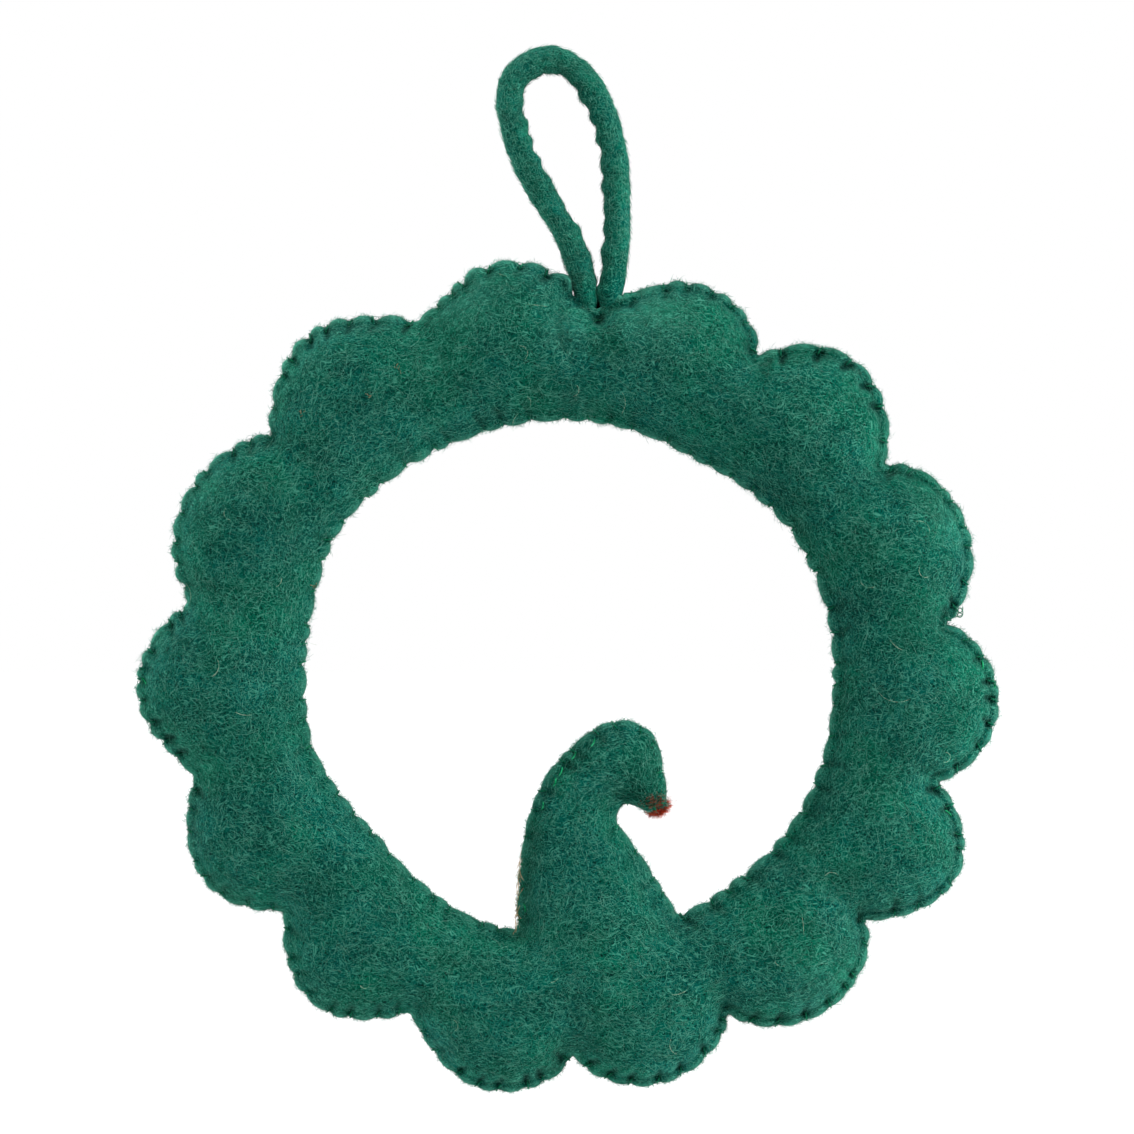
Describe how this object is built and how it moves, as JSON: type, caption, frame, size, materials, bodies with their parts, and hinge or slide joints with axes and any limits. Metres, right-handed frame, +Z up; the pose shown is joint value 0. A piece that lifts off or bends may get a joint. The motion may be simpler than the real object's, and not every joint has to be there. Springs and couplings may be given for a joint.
{
  "type": "felt wreath",
  "caption": "Stuffed felt ring with a scalloped edge, a pointed hat curling into its opening, and a felt rope loop to hang it by.",
  "frame": {"origin": "the underside of the hanging loop's top, where a hook or nail touches it", "axes": "+Z up, from the ring towards the loop; -Y out of the plain back, the side pictured; +X to the right when the back is seen"},
  "size_m": [0.3042, 0.031, 0.3705],
  "materials": {
    "green_felt": "matte wool felt",
    "green_rope": "matte felted wool rope",
    "fibre_fill": "matte loose fibre",
    "red_wool": "matte loose wool"
  },
  "bodies": {
    "loop": {"hanging_loop": "green_rope"},
    "wreath": {"back_panel": "green_felt", "front_panel": "green_felt", "ring_stuffing": "fibre_fill", "hat_stuffing": "fibre_fill", "loop_tail_left": "green_rope", "loop_tail_right": "green_rope", "hat_tip_wool": "red_wool"}
  },
  "joints": [
    {"name": "loop_swing", "type": "hinge", "parent": "loop", "child": "wreath", "pos_m": [0.01725, 0, -0.07495], "axis": [1, 0, 0], "range_deg": [-80, 80]}
  ]
}
